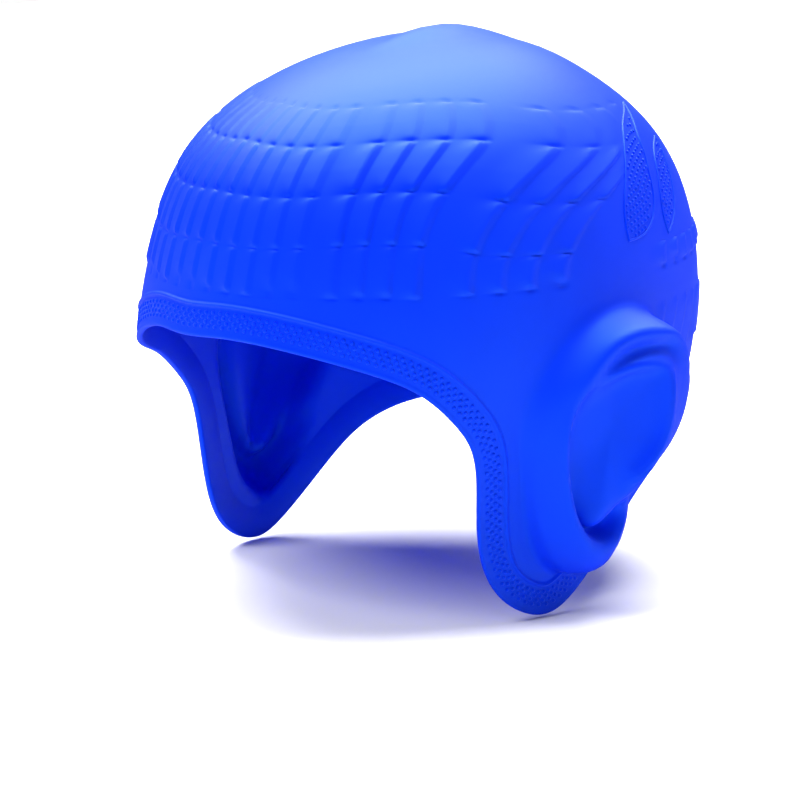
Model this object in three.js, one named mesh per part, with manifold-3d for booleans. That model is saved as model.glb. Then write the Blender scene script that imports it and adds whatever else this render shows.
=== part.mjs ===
// A one-piece swim cap in moulded silicone rubber, in the shape it takes on a head.
// Millimetres, +Z up. The face looks towards -Y and the wearer's left ear is at +X.
// The origin is the inside of the crown's top, where the cap rests on the head.
// The cap is built as one skin: an outer surface, an inner surface one wall further in,
// and a lip that joins them round the rim.

import * as THREE from 'three';
import Module from 'manifold-3d';

// Thicknesses and heights.
const WALL = 1.2;
const BAND_WALL = 1.9;
const BAND_WIDTH = 9;
const BEAD_HEIGHT = 0.7;
const BEAD_WIDTH = 1.8;
const RIB_HEIGHT = 0.5;
const LIP_TUCK = 0.35;

// The head form in level sections. Every depth is measured down from the top of the crown,
// and the middle is the y of the section's centre.
const SECTIONS = [
  { depth: 0, halfWidth: 0, halfLength: 0, middle: 0 },
  { depth: 3.2, halfWidth: 23.5, halfLength: 26.5, middle: 1 },
  { depth: 11.5, halfWidth: 43, halfLength: 51, middle: -3.3 },
  { depth: 25.5, halfWidth: 60, halfLength: 73, middle: -5.4 },
  { depth: 44, halfWidth: 70.5, halfLength: 88, middle: -5.5 },
  { depth: 67, halfWidth: 76.3, halfLength: 95.6, middle: -5.7 },
  { depth: 92, halfWidth: 77.5, halfLength: 98.5, middle: -7.7 },
  { depth: 118, halfWidth: 74.5, halfLength: 96, middle: -10 },
  { depth: 144, halfWidth: 71, halfLength: 89.5, middle: -12.5 },
  { depth: 168, halfWidth: 69.5, halfLength: 84, middle: -14 },
  { depth: 192, halfWidth: 69, halfLength: 80.5, middle: -13.5 },
];
const EGG = 0.05;

// The rim from the middle of the forehead to the middle of the nape, on one side.
// A column is one line of the skin from the crown down: its number is its azimuth on the
// girdle, and azimuth and depth say where it meets the rim.
const GIRDLE_DEPTH = 70;
const RIM = [
  { column: 0, azimuth: 0, depth: 83.5 },
  { column: 11, azimuth: 11, depth: 83 },
  { column: 29, azimuth: 30, depth: 86 },
  { column: 39, azimuth: 41, depth: 90 },
  { column: 46, azimuth: 49, depth: 94 },
  { column: 53, azimuth: 57, depth: 100.5 },
  { column: 58.5, azimuth: 63, depth: 109 },
  { column: 62.5, azimuth: 66.5, depth: 116 },
  { column: 66, azimuth: 68.3, depth: 123 },
  { column: 71, azimuth: 69.4, depth: 134 },
  { column: 80, azimuth: 71.6, depth: 155 },
  { column: 87.5, azimuth: 77.2, depth: 168 },
  { column: 95, azimuth: 86, depth: 174 },
  { column: 102, azimuth: 93.5, depth: 171.5 },
  { column: 108, azimuth: 100, depth: 164.5 },
  { column: 115, azimuth: 107, depth: 154.5 },
  { column: 122, azimuth: 114, depth: 144.5 },
  { column: 131, azimuth: 124, depth: 136.5 },
  { column: 144, azimuth: 139, depth: 133 },
  { column: 160, azimuth: 157, depth: 133.5 },
  { column: 180, azimuth: 180, depth: 134 },
];

// The cap sits a little lower over the right temple.
const RIGHT_TEMPLE = { column: -42, spread: 34, drop: 7 };

// One ear pocket, by stations round it from its top over the back, as [y, depth, stand-off].
// Foot is where it leaves the head, crest is its raised edge, inner is where that edge meets
// the dish in its middle, and fold is how far a second ridge rises inside the edge. Dish is
// a step in the dish's floor: its share of the way out from the middle, and its rise.
const EAR_STATIONS = [
  { foot: [-4, 78], crest: [-4, 84, 12], inner: [-3, 99, 10.5], fold: 1.4, dish: [0.5, 0] },
  { foot: [12, 76], crest: [9, 83, 15], inner: [5, 97.5, 14], fold: 1.4, dish: [0.5, 0] },
  { foot: [23, 84], crest: [17, 89, 19], inner: [11, 98.5, 17], fold: 1, dish: [0.5, 0] },
  { foot: [19, 98], crest: [18.5, 101, 21], inner: [13.5, 103, 18], fold: 0, dish: [0.5, 0] },
  { foot: [14, 112], crest: [15.5, 112, 21], inner: [11, 112, 17.5], fold: 0, dish: [0.5, 0] },
  { foot: [6, 124], crest: [8, 121.5, 19], inner: [5, 119.5, 15.5], fold: 0, dish: [0.6, 0] },
  { foot: [1, 133], crest: [1, 129.5, 16], inner: [-1, 126, 12], fold: 0, dish: [0.7, 1] },
  { foot: [3, 146], crest: [-1, 143.5, 15.5], inner: [-7, 141, 7], fold: 0, dish: [0.78, 3] },
  { foot: [-7, 159.5], crest: [-9, 152.5, 15], inner: [-12, 146, 6], fold: 0, dish: [0.76, 3.5] },
  { foot: [-20.5, 156], crest: [-17, 148.5, 11.5], inner: [-14.5, 141, 6], fold: 0, dish: [0.76, 3] },
  { foot: [-28, 140], crest: [-22, 135, 9], inner: [-17, 131, 6], fold: 0, dish: [0.6, 1] },
  { foot: [-31, 120], crest: [-24, 118, 9], inner: [-19, 117, 6], fold: 0, dish: [0.5, 0] },
  { foot: [-27, 103], crest: [-22, 105, 8.5], inner: [-17, 106, 7], fold: 0, dish: [0.5, 0] },
  { foot: [-17, 88], crest: [-15, 95, 9], inner: [-12, 99, 8], fold: 0.5, dish: [0.5, 0] },
];
const EAR_MIDDLE = [-5, 113, 11];
const SEAT_MIDDLE = [-5, 117, 0];
const EAR_SHOULDER = { share: 0.3, rise: 0.62 };

// Where the crest and the inner edge lie in a section of the pocket, how many sections go
// round it, how deep its hollow's plug reaches into the head's side, and the shortest edge
// kept where the pocket's surfaces cross the skin.
const CREST_INDEX = 2;
const INNER_INDEX = 5;
const EAR_TURNS = 36;
const EAR_PLUG = 8;
const SMALLEST_EDGE = 0.02;

// The soft fold along the top of the crown.
const HUMP = { y: 4, halfLength: 36, halfWidth: 11, height: 2.6 };

// The rows of short ribs, as depths, and the sectors of columns that carry them.
const RIB_ROWS = [
  { top: 16, bottom: 25.5 },
  { top: 25.5, bottom: 39 },
  { top: 39, bottom: 54 },
  { top: 54, bottom: GIRDLE_DEPTH },
];
const RIB_SECTORS = [
  { from: 0, to: 40 },
  { from: 44, to: 62 },
  { from: 67, to: 90 },
  { from: 113, to: 180 },
];
const RIB_END = 0.14;

// How finely the skin is divided.
const COLUMNS = 128;
const CROWN_RINGS = [
  { depth: 0.35, divide: 8 },
  { depth: 1.5, divide: 4 },
  { depth: 4.2, divide: 2 },
  { depth: 9.5, divide: 1 },
];
const INNER_CROWN_RINGS = [
  { depth: 0.35, divide: 8 },
  { depth: 1.5, divide: 4 },
  { depth: 4.2, divide: 4 },
  { depth: 9.5, divide: 2 },
  { depth: 18, divide: 2 },
  { depth: 29, divide: 2 },
  { depth: 42, divide: 2 },
  { depth: 56, divide: 2 },
];
const ROW_STEP = 11;

// How far the columns lean towards the sides on the crown, in degrees, and over what
// length at most the columns below the girdle turn square to the rim.
const FAN = 12;
const ARRIVAL = 30;

// The small steps, in degrees and in sections, over which the skin's slopes are taken, and
// how often the search for a depth halves its range.
const TURN_STEP = 0.5;
const LEVEL_STEP = 0.01;
const LEVEL_HALVINGS = 40;

const CAP_BLUE = 0x0a3cf0;

const wasm = await Module();
wasm.setup();

const radians = (degrees) => (degrees * Math.PI) / 180;
const clamp = (value) => Math.min(1, Math.max(0, value));
const ease = (value) => {
  const share = clamp(value);
  return share * share * (3 - 2 * share);
};

// A natural cubic spline through the points (xs, ys).
function spline(xs, ys) {
  const last = xs.length - 1;
  const bend = new Array(last + 1).fill(0);
  const carry = new Array(last + 1).fill(0);
  for (let i = 1; i < last; i += 1) {
    const before = xs[i] - xs[i - 1];
    const after = xs[i + 1] - xs[i];
    const slopeChange = (ys[i + 1] - ys[i]) / after - (ys[i] - ys[i - 1]) / before;
    const pivot = 2 * (before + after) - before * carry[i - 1];
    carry[i] = after / pivot;
    bend[i] = (6 * slopeChange - before * bend[i - 1]) / pivot;
  }
  for (let i = last - 1; i > 0; i -= 1) {
    bend[i] -= carry[i] * bend[i + 1];
  }
  return (x) => {
    let i = 0;
    while (i < last - 1 && x > xs[i + 1]) {
      i += 1;
    }
    const width = xs[i + 1] - xs[i];
    const left = (xs[i + 1] - x) / width;
    const right = 1 - left;
    const curve = (left ** 3 - left) * bend[i] + (right ** 3 - right) * bend[i + 1];
    return left * ys[i] + right * ys[i + 1] + (curve * width * width) / 6;
  };
}

// A spline over the sections, carried through the crown's top so that it is smooth there.
function sectionCurve(key, sign) {
  const last = SECTIONS.length - 1;
  const indices = [];
  const values = [];
  for (let i = -last; i <= last; i += 1) {
    indices.push(i);
    values.push(i < 0 ? sign * SECTIONS[-i][key] : SECTIONS[i][key]);
  }
  return spline(indices, values);
}

const depthAt = sectionCurve('depth', 1);
const middleAt = sectionCurve('middle', 1);
const halfWidthAt = sectionCurve('halfWidth', -1);
const halfLengthAt = sectionCurve('halfLength', -1);

function levelOfDepth(depth) {
  let low = 0;
  let high = SECTIONS.length - 1;
  for (let halving = 0; halving < LEVEL_HALVINGS; halving += 1) {
    const middle = (low + high) / 2;
    if (depthAt(middle) < depth) {
      low = middle;
    } else {
      high = middle;
    }
  }
  return (low + high) / 2;
}

// A spline over the rim's rows, carried past the forehead and the nape.
function rimCurve(key, mirrorSign) {
  const columns = [];
  const values = [];
  const add = (row, turn, sign) => {
    columns.push(turn + sign * row.column);
    values.push(key === 'azimuth' ? turn + sign * row.azimuth : row[key]);
  };
  [...RIM].reverse().forEach((row) => add(row, 0, -1));
  RIM.slice(1).forEach((row) => add(row, 0, 1));
  [...RIM].reverse().slice(1, 4).forEach((row) => add(row, 360, -1));
  const curve = spline(columns, values);
  return (column) => (column < 0 ? mirrorSign * curve(-column) : curve(column));
}

const rimAzimuth = rimCurve('azimuth', -1);
const evenRimDepth = rimCurve('depth', 1);

function rimDepth(column) {
  const share = 1 - Math.abs(column - RIGHT_TEMPLE.column) / RIGHT_TEMPLE.spread;
  return evenRimDepth(column) + RIGHT_TEMPLE.drop * ease(share);
}

// The bare head form.
function headForm(azimuth, level) {
  const turn = radians(azimuth);
  return new THREE.Vector3(
    halfWidthAt(level) * Math.sin(turn) * (1 - EGG * Math.cos(turn)),
    middleAt(level) - halfLengthAt(level) * Math.cos(turn),
    WALL - depthAt(level),
  );
}

function humpHeight(point) {
  const along = (point.y - HUMP.y) / HUMP.halfLength;
  const across = point.x / HUMP.halfWidth;
  return HUMP.height * ease(1 - Math.hypot(along, across));
}

// The outer skin without ribs, bead or ear pockets.
function skin(azimuth, level) {
  const point = headForm(azimuth, level);
  point.z += humpHeight(point);
  return point;
}

function skinNormal(azimuth, level) {
  if (level === 0) {
    return new THREE.Vector3(0, 0, 1);
  }
  const across = skin(azimuth + TURN_STEP, level).sub(skin(azimuth - TURN_STEP, level));
  const down = skin(azimuth, level + LEVEL_STEP).sub(skin(azimuth, level - LEVEL_STEP));
  return down.cross(across).normalize();
}

// A place on the skin, moved out along the skin's normal.
function place(azimuth, depth, offset) {
  const level = levelOfDepth(depth);
  return skin(azimuth, level).addScaledVector(skinNormal(azimuth, level), offset);
}

// Columns lean towards the sides above the girdle, as the real rows of ribs do.
function crownAzimuth(column, depth) {
  return column + FAN * Math.sin(radians(2 * column)) * ease(1 - depth / GIRDLE_DEPTH);
}

function carriesRibs(column) {
  const turn = Math.abs(column);
  return RIB_SECTORS.some((sector) => turn >= sector.from && turn <= sector.to);
}

// Millimetres round the head for one degree of azimuth.
function degreeLength(azimuth, depth) {
  const level = levelOfDepth(depth);
  const before = headForm(azimuth - TURN_STEP, level);
  const after = headForm(azimuth + TURN_STEP, level);
  return before.distanceTo(after) / (2 * TURN_STEP);
}

// The unit step from the rim up into the cap, as degrees and depth for one millimetre.
function rimInward(column) {
  const scale = degreeLength(rimAzimuth(column), rimDepth(column));
  const turn = rimAzimuth(column + TURN_STEP) - rimAzimuth(column - TURN_STEP);
  const along = turn * scale;
  const fall = rimDepth(column + TURN_STEP) - rimDepth(column - TURN_STEP);
  const length = Math.hypot(along, fall);
  return { azimuth: fall / length / scale, depth: -along / length, scale };
}

// The lower part of one column, from the girdle to the top of the bead, as places in
// azimuth and depth: it leaves the girdle straight down and meets the bead square on.
function skirtPlaces(column) {
  const inward = rimInward(column);
  const start = { azimuth: column, depth: GIRDLE_DEPTH };
  const reach = BAND_WIDTH + BEAD_WIDTH;
  const end = {
    azimuth: rimAzimuth(column) + inward.azimuth * reach,
    depth: rimDepth(column) + inward.depth * reach,
  };
  const span = Math.hypot((end.azimuth - start.azimuth) * inward.scale, end.depth - start.depth);
  const count = Math.max(1, Math.round(span / ROW_STEP));
  const places = [];
  for (let i = 0; i <= count; i += 1) {
    const s = i / count;
    const toEnd = ease(s);
    const leave = s * (1 - s) * (1 - s) * span;
    const arrive = s * s * (1 - s) * Math.min(span, ARRIVAL);
    places.push({
      azimuth: start.azimuth + (end.azimuth - start.azimuth) * toEnd + arrive * inward.azimuth,
      depth: start.depth + (end.depth - start.depth) * toEnd + leave + arrive * inward.depth,
    });
  }
  return places;
}

// A closed skin in the making: points, and faces as triples of point numbers.
class Skin {
  constructor() {
    this.points = [];
    this.faces = [];
  }

  addPoint(point) {
    this.points.push(point);
    return this.points.length - 1;
  }

  addFace(a, b, c, flipped) {
    this.faces.push(flipped ? [a, c, b] : [a, b, c]);
  }

  addFan(middle, ring, flipped) {
    ring.forEach((point, i) => this.addFace(middle, point, ring[(i + 1) % ring.length], flipped));
  }

  // Joins two closed rings of points, the upper one with the same count or a half of it.
  joinRings(upper, lower, flipped) {
    const ratio = lower.length / upper.length;
    for (let i = 0; i < upper.length; i += 1) {
      const next = (i + 1) % upper.length;
      const first = i * ratio;
      const end = (first + ratio) % lower.length;
      if (ratio === 2) {
        this.addFace(upper[i], lower[first], lower[first + 1], flipped);
        this.addFace(upper[i], lower[first + 1], upper[next], flipped);
        this.addFace(upper[next], lower[first + 1], lower[end], flipped);
      } else {
        this.addFace(upper[i], lower[first], lower[end], flipped);
        this.addFace(upper[i], lower[end], upper[next], flipped);
      }
    }
  }

  joinRingList(rings, flipped) {
    for (let i = 0; i + 1 < rings.length; i += 1) {
      this.joinRings(rings[i], rings[i + 1], flipped);
    }
  }

  // Joins two neighbouring columns whose points lie at unlike shares of their length.
  joinColumns(left, right, flipped) {
    let i = 0;
    let j = 0;
    while (i < left.length - 1 || j < right.length - 1) {
      const leftNext = (i + 1) / (left.length - 1);
      const rightNext = (j + 1) / (right.length - 1);
      if (j === right.length - 1 || (i < left.length - 1 && leftNext <= rightNext)) {
        this.addFace(left[i], left[i + 1], right[j], flipped);
        i += 1;
      } else {
        this.addFace(left[i], right[j + 1], right[j], flipped);
        j += 1;
      }
    }
  }

  solid() {
    return new wasm.Manifold(new wasm.Mesh({
      numProp: 3,
      vertProperties: new Float32Array(this.points.flatMap((point) => [point.x, point.y, point.z])),
      triVerts: new Uint32Array(this.faces.flat()),
    }));
  }
}

const columnAt = (index) => {
  const column = (index * 360) / COLUMNS;
  return column > 180 ? column - 360 : column;
};

function crownRing(body, row, offset) {
  const ring = [];
  for (let index = 0; index < COLUMNS; index += row.divide) {
    const column = columnAt(index);
    const rib = index % 2 === 0 && carriesRibs(column) ? row.ribs * RIB_HEIGHT : 0;
    ring.push(body.addPoint(place(crownAzimuth(column, row.depth), row.depth, offset + rib)));
  }
  return ring;
}

function addCrown(body, offset, flipped, rows) {
  const top = body.addPoint(place(0, 0, offset));
  const rings = rows.map((row) => crownRing(body, row, offset));
  body.addFan(top, rings[0], flipped);
  body.joinRingList(rings, flipped);
  return rings[rings.length - 1];
}

function outerRingRows() {
  const rows = CROWN_RINGS.map((row) => ({ ...row, ribs: 0 }));
  rows.push({ depth: RIB_ROWS[0].top, divide: 1, ribs: 0 });
  for (const row of RIB_ROWS) {
    const end = (row.bottom - row.top) * RIB_END;
    rows.push({ depth: row.top + end, divide: 1, ribs: 1 });
    rows.push({ depth: row.bottom - end, divide: 1, ribs: 1 });
    rows.push({ depth: row.bottom, divide: 1, ribs: 0 });
  }
  return rows;
}

function innerRingRows() {
  const rows = INNER_CROWN_RINGS.map((row) => ({ ...row, ribs: 0 }));
  rows.push({ depth: GIRDLE_DEPTH, divide: 1, ribs: 0 });
  return rows;
}

// The skirt below the girdle: its columns are joined one to the next.
function addSkirt(body, girdle, offset, flipped) {
  const columns = girdle.map((girdlePoint, index) => {
    const places = skirtPlaces(columnAt(index)).slice(1);
    return [girdlePoint, ...places.map((at) => body.addPoint(place(at.azimuth, at.depth, offset)))];
  });
  columns.forEach((column, i) => {
    body.joinColumns(column, columns[(i + 1) % columns.length], flipped);
  });
  return columns.map((column) => column[column.length - 1]);
}

// A ring that follows the rim at a set distance up from it.
function rimRing(body, up, offset) {
  const ring = [];
  for (let index = 0; index < COLUMNS; index += 1) {
    const column = columnAt(index);
    const inward = rimInward(column);
    const azimuth = rimAzimuth(column) + inward.azimuth * up;
    const depth = rimDepth(column) + inward.depth * up;
    ring.push(body.addPoint(place(azimuth, depth, offset)));
  }
  return ring;
}

// The cap without its ear pockets.
function buildShell() {
  const body = new Skin();
  const outerGirdle = addCrown(body, 0, false, outerRingRows());
  const innerGirdle = addCrown(body, -WALL, true, innerRingRows());
  const outerBand = [
    addSkirt(body, outerGirdle, 0, false),
    rimRing(body, BAND_WIDTH + BEAD_WIDTH / 2, BEAD_HEIGHT),
    rimRing(body, BAND_WIDTH, 0),
    rimRing(body, LIP_TUCK, 0),
    rimRing(body, 0, -BAND_WALL / 2),
  ];
  const innerBand = [
    addSkirt(body, innerGirdle, -WALL, true),
    rimRing(body, BAND_WIDTH, -BAND_WALL),
    rimRing(body, LIP_TUCK, -BAND_WALL),
  ];
  body.joinRingList(outerBand, false);
  body.joinRingList(innerBand, true);
  body.joinRings(innerBand[innerBand.length - 1], outerBand[outerBand.length - 1], true);
  return body.solid();
}

// A closed curve through one value of every ear station.
function stationCurve(key, item) {
  const count = EAR_STATIONS.length;
  const indices = [];
  const values = [];
  for (let i = -count; i <= 2 * count; i += 1) {
    const value = EAR_STATIONS[((i % count) + count) % count][key];
    indices.push(i);
    values.push(item === undefined ? value : value[item]);
  }
  return spline(indices, values);
}

const earCurves = {
  foot: [stationCurve('foot', 0), stationCurve('foot', 1), () => 0],
  crest: [0, 1, 2].map((item) => stationCurve('crest', item)),
  inner: [0, 1, 2].map((item) => stationCurve('inner', item)),
  fold: stationCurve('fold'),
  dish: [0, 1].map((item) => stationCurve('dish', item)),
};

const mix = (from, to, share) => from.map((value, i) => value + (to[i] - value) * share);
const standOff = (spot, extra) => [spot[0], spot[1], spot[2] + extra];

// A point beside the head, stood off from its side by the spot's third value.
function besideHead([y, depth, out], side) {
  const level = levelOfDepth(depth);
  const cosine = (middleAt(level) - y) / halfLengthAt(level);
  const halfWidth = halfWidthAt(level) * (1 - EGG * cosine);
  const x = halfWidth * Math.sqrt(Math.max(0, 1 - cosine * cosine)) + out;
  return new THREE.Vector3(side * x, y, WALL - depth);
}

// One section of the ear pocket, from its foot over its crest to its middle.
function earSection(station) {
  const foot = earCurves.foot.map((curve) => curve(station));
  const crest = earCurves.crest.map((curve) => curve(station));
  const inner = earCurves.inner.map((curve) => curve(station));
  const fold = earCurves.fold(station);
  const [dishShare, dishRise] = earCurves.dish.map((curve) => curve(station));
  const shoulder = mix(foot, crest, EAR_SHOULDER.share);
  shoulder[2] = crest[2] * EAR_SHOULDER.rise;
  return [
    foot,
    shoulder,
    crest,
    standOff(mix(crest, inner, 1 / 3), -fold),
    standOff(mix(crest, inner, 2 / 3), fold),
    inner,
    standOff(mix(EAR_MIDDLE, inner, dishShare), dishRise),
  ];
}

const earSections = Array.from({ length: EAR_TURNS }, (_, turn) => (
  earSection((turn * EAR_STATIONS.length) / EAR_TURNS)
));

// The same section one wall further in: its outer side moves in as well as down, and it
// moves down further where the slope from the crest to the dish is steep.
function hollowSection(section) {
  const crest = section[CREST_INDEX];
  const inner = section[INNER_INDEX];
  const slope = (crest[2] - inner[2]) / Math.hypot(inner[0] - crest[0], inner[1] - crest[1]);
  const slopeWall = WALL * Math.hypot(1, slope);
  return section.map((spot, index) => {
    if (index >= INNER_INDEX) {
      return standOff(spot, -WALL);
    }
    if (index > CREST_INDEX) {
      return standOff(spot, -slopeWall);
    }
    const reach = Math.hypot(inner[0] - spot[0], inner[1] - spot[1]);
    const [y, depth] = mix(spot, inner, WALL / reach);
    return [y, depth, spot[2] - (index === CREST_INDEX ? slopeWall + WALL * slope : WALL)];
  });
}

// The rings of a pocket's dome, from the one next to its middle down to its foot.
function domeRings(sections, side) {
  const order = [...sections[0].keys()].reverse();
  return order.map((index) => sections.map((section) => besideHead(section[index], side)));
}

// A closed dome on a seat: the last rings and the bottom lie below the dome's foot.
function domeSolid(top, rings, bottom, side) {
  const body = new Skin();
  const flipped = side > 0;
  const numbered = rings.map((ring) => ring.map((point) => body.addPoint(point)));
  body.addFan(body.addPoint(top), numbered[0], flipped);
  body.joinRingList(numbered, flipped);
  body.addFan(body.addPoint(bottom), numbered[numbered.length - 1], !flipped);
  return body.solid();
}

// The pocket's outside, seated half a wall deep in the head form.
function pocketOutside(side) {
  const seat = -WALL / 2;
  const seatRing = (share) => earSections.map((section) => (
    besideHead(standOff(mix(section[0], SEAT_MIDDLE, share), seat), side)
  ));
  const rings = [...domeRings(earSections, side), seatRing(0), seatRing(1 / 3)];
  const bottom = besideHead(standOff(SEAT_MIDDLE, seat), side);
  return domeSolid(besideHead(EAR_MIDDLE, side), rings, bottom, side);
}

// The pocket's hollow: its dome one wall further in, and a plug that opens it to the head.
function pocketHollow(side) {
  const sections = earSections.map(hollowSection);
  const plug = sections.map(([foot]) => besideHead([foot[0], foot[1], -EAR_PLUG], side));
  const rings = [...domeRings(sections, side), plug];
  const bottom = besideHead(standOff(SEAT_MIDDLE, -EAR_PLUG), side);
  return domeSolid(besideHead(standOff(EAR_MIDDLE, -WALL), side), rings, bottom, side);
}

function geometryOf(solid) {
  const mesh = solid.getMesh();
  const geometry = new THREE.BufferGeometry();
  geometry.setAttribute('position', new THREE.BufferAttribute(mesh.vertProperties, 3));
  geometry.setIndex(new THREE.BufferAttribute(mesh.triVerts, 1));
  geometry.computeVertexNormals();
  return geometry;
}

function buildCap() {
  let cap = buildShell();
  for (const side of [1, -1]) {
    cap = cap.add(pocketOutside(side)).subtract(pocketHollow(side));
  }
  return geometryOf(cap.simplify(SMALLEST_EDGE));
}

const silicone = new THREE.MeshStandardMaterial({
  name: 'blue_silicone',
  color: CAP_BLUE,
  roughness: 0.38,
  metalness: 0,
});

const capShell = new THREE.Mesh(buildCap(), silicone);
capShell.name = 'cap_shell';

const group = new THREE.Group();
group.name = 'swim_cap';
group.add(capShell);

export default group;
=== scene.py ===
"""Looks of a one-piece moulded silicone swim cap, in metres, +Z up.

The skin is one fine closed mesh: crown, ribs, skirt, ear pockets, bead, band and lip outside,
and a plain inner side one wall further in. Its tables are in millimetres, as the part's are.
"""

import math

import bpy
import numpy as np
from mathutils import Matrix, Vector


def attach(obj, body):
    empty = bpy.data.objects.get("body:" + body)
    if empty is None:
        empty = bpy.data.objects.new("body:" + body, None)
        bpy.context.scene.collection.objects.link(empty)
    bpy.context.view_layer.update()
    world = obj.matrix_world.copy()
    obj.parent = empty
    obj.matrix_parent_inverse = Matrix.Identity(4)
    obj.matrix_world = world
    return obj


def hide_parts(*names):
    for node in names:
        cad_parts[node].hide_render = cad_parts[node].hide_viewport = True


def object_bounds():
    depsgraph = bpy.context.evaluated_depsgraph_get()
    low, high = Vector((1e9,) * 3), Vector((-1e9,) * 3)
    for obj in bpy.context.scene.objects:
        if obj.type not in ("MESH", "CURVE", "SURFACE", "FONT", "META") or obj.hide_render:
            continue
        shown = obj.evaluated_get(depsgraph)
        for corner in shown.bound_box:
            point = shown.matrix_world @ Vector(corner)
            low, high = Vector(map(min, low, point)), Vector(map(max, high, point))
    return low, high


MM = 0.001
SEED = 7

# Thicknesses and heights of the skin, in millimetres.
WALL = 1.2
BAND_WALL = 1.9
LEAST_WALL = 0.8
BAND_WIDTH = 9.0
BEAD_WIDTH = 1.8
RIB_HEIGHT = 0.85

# The cap's bare form in level sections: depth, half width, half length, middle.
SECTIONS = (
    (0, 0, 0, 0),
    (3.2, 23.5, 26.5, 1),
    (11.5, 43, 51, -3.3),
    (25.5, 60, 73, -5.4),
    (44, 70.5, 88, -5.5),
    (67, 76.3, 95.6, -5.7),
    (92, 77.5, 98.5, -7.7),
    (118, 74.5, 96, -10),
    (144, 71, 89.5, -12.5),
    (168, 69.5, 84, -14),
    (192, 69, 80.5, -13.5),
)
EGG = 0.05
GIRDLE_DEPTH = 70.0

# The rim from the forehead to the nape: column, azimuth, depth.
RIM = (
    (0, 0, 83.5),
    (11, 11, 83),
    (29, 30, 86),
    (39, 41, 90),
    (46, 49, 94),
    (53, 57, 100.5),
    (58.5, 63, 109),
    (62.5, 66.5, 116),
    (66, 68.3, 123),
    (71, 69.4, 134),
    (80, 71.6, 155),
    (87.5, 77.2, 168),
    (95, 86, 174),
    (102, 93.5, 171.5),
    (108, 100, 164.5),
    (115, 107, 154.5),
    (122, 114, 144.5),
    (131, 124, 136.5),
    (144, 139, 133),
    (160, 157, 133.5),
    (180, 180, 134),
)
RIGHT_TEMPLE = {"column": -42, "spread": 34, "drop": 7}
ARRIVAL = 30.0
HUMP = {"y": 4, "half_length": 36, "half_width": 11, "height": 2.6}

# One ear pocket by stations round it, from its top over the back. Each has its foot on the
# skin (y, depth), then its flank, shoulder, crest, fold and dish as (y, depth, distance from
# the cap's middle plane).
EAR_STATIONS = (
    (
        (-4, 80), (-4, 82.5, 81.5), (-4, 86, 89.3),
        (-3, 92, 87.2), (-4.5, 95.9, 89.7), (-4.5, 100, 86.6),
    ),
    (
        (12, 78.5), (12, 81.3, 84), (10.3, 84.6, 91.4),
        (7.5, 90, 88.8), (3.8, 94.2, 92.4), (2, 98.5, 89.3),
    ),
    (
        (22.5, 85.5), (23.7, 89, 86.5), (19.7, 88.5, 91.6),
        (15.3, 91.5, 90), (9.9, 95.4, 94), (6.3, 99, 91),
    ),
    (
        (23, 99), (27.5, 101, 85), (24.6, 100.7, 90),
        (16.5, 100.4, 92), (12.3, 100.6, 95.8), (8.5, 102.3, 92.2),
    ),
    (
        (20.5, 113), (25.5, 113, 84.5), (22.5, 112.8, 89.6),
        (15.6, 112.5, 92.3), (11.7, 112.5, 95.8), (7.8, 112.3, 92.2),
    ),
    (
        (15, 124.5), (18.3, 125.3, 83.5), (16.4, 124, 87.8),
        (11.6, 122, 91.8), (8.2, 121, 95), (5, 119.3, 91.3),
    ),
    (
        (8.5, 134.5), (8.4, 134.3, 80.5), (6.2, 132.7, 86.3),
        (4.3, 131.2, 89.8), (2, 129.8, 93), (-0.5, 127, 89.3),
    ),
    (
        (7.5, 140.4), (7.5, 139.8, 78), (6.3, 139, 82.2),
        (3, 138, 84.2), (0, 136.2, 87.2), (-1.8, 132.5, 88.2),
    ),
    (
        (3, 147.5), (4, 147.5, 78), (3.2, 147.6, 83),
        (0.2, 146.4, 84.8), (-2.2, 142.3, 78.5), (-3, 137.2, 86),
    ),
    (
        (-5, 160.7), (-5, 160.7, 76.5), (-6, 157.6, 83),
        (-6.7, 151, 85), (-7, 146.3, 77.5), (-7.3, 141.4, 83.8),
    ),
    (
        (-20, 158), (-19.3, 155.8, 75.5), (-17, 151.3, 81.3),
        (-14.5, 146.3, 84.3), (-13, 143.6, 77), (-11.5, 140.3, 80.5),
    ),
    (
        (-28, 140), (-26, 138.7, 74.5), (-22.5, 136.3, 80.3),
        (-19.8, 134.5, 83.6), (-17.6, 132.3, 78), (-14, 128.5, 79),
    ),
    (
        (-31, 120), (-28, 119.5, 76), (-24.5, 119, 81),
        (-22, 118.5, 84), (-19.5, 118, 79.6), (-15, 117, 80.3),
    ),
    (
        (-28, 103), (-25.5, 104, 79), (-22, 105.3, 83),
        (-19.7, 106.3, 85), (-17, 107.3, 82), (-13, 109, 82.5),
    ),
    (
        (-18, 89), (-17, 91.5, 81), (-15.5, 95.5, 86.8),
        (-14, 98.3, 87), (-12.3, 100.3, 86.2), (-9.5, 104.5, 84.8),
    ),
)
EAR_MIDDLE = (-5, 113, 86)

# How soft the pocket's foot is at each station: 1 melts into the skin, 0 is a crisp crease.
FOOT_SOFTNESS = (0.7, 0.5, 0.2, 0, 0, 0, 0, 0, 0, 0.1, 0.3, 0.8, 1, 1, 0.9)

# Ribs: the depths between their rows, and the columns that carry them, by group.
RIB_BREAKS = (16, 26, 40, 55, GIRDLE_DEPTH)
RIB_PITCH = 5.6
FRONT_RIBS = tuple(28 - RIB_PITCH * i for i in range(12))
TEMPLE_RIBS = (36.5, 42, 47.5, 53)
SIDE_RIBS = (63.5, 70, 76.5, 83.5)
REAR_RIBS = tuple(113 + 5.5 * i for i in range(13))
TEMPLE_SHIFT = 3

# Rear ribs up to this column show in the lowest row only, as the grip patches lie there.
GRIP_END = 148.0


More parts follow.
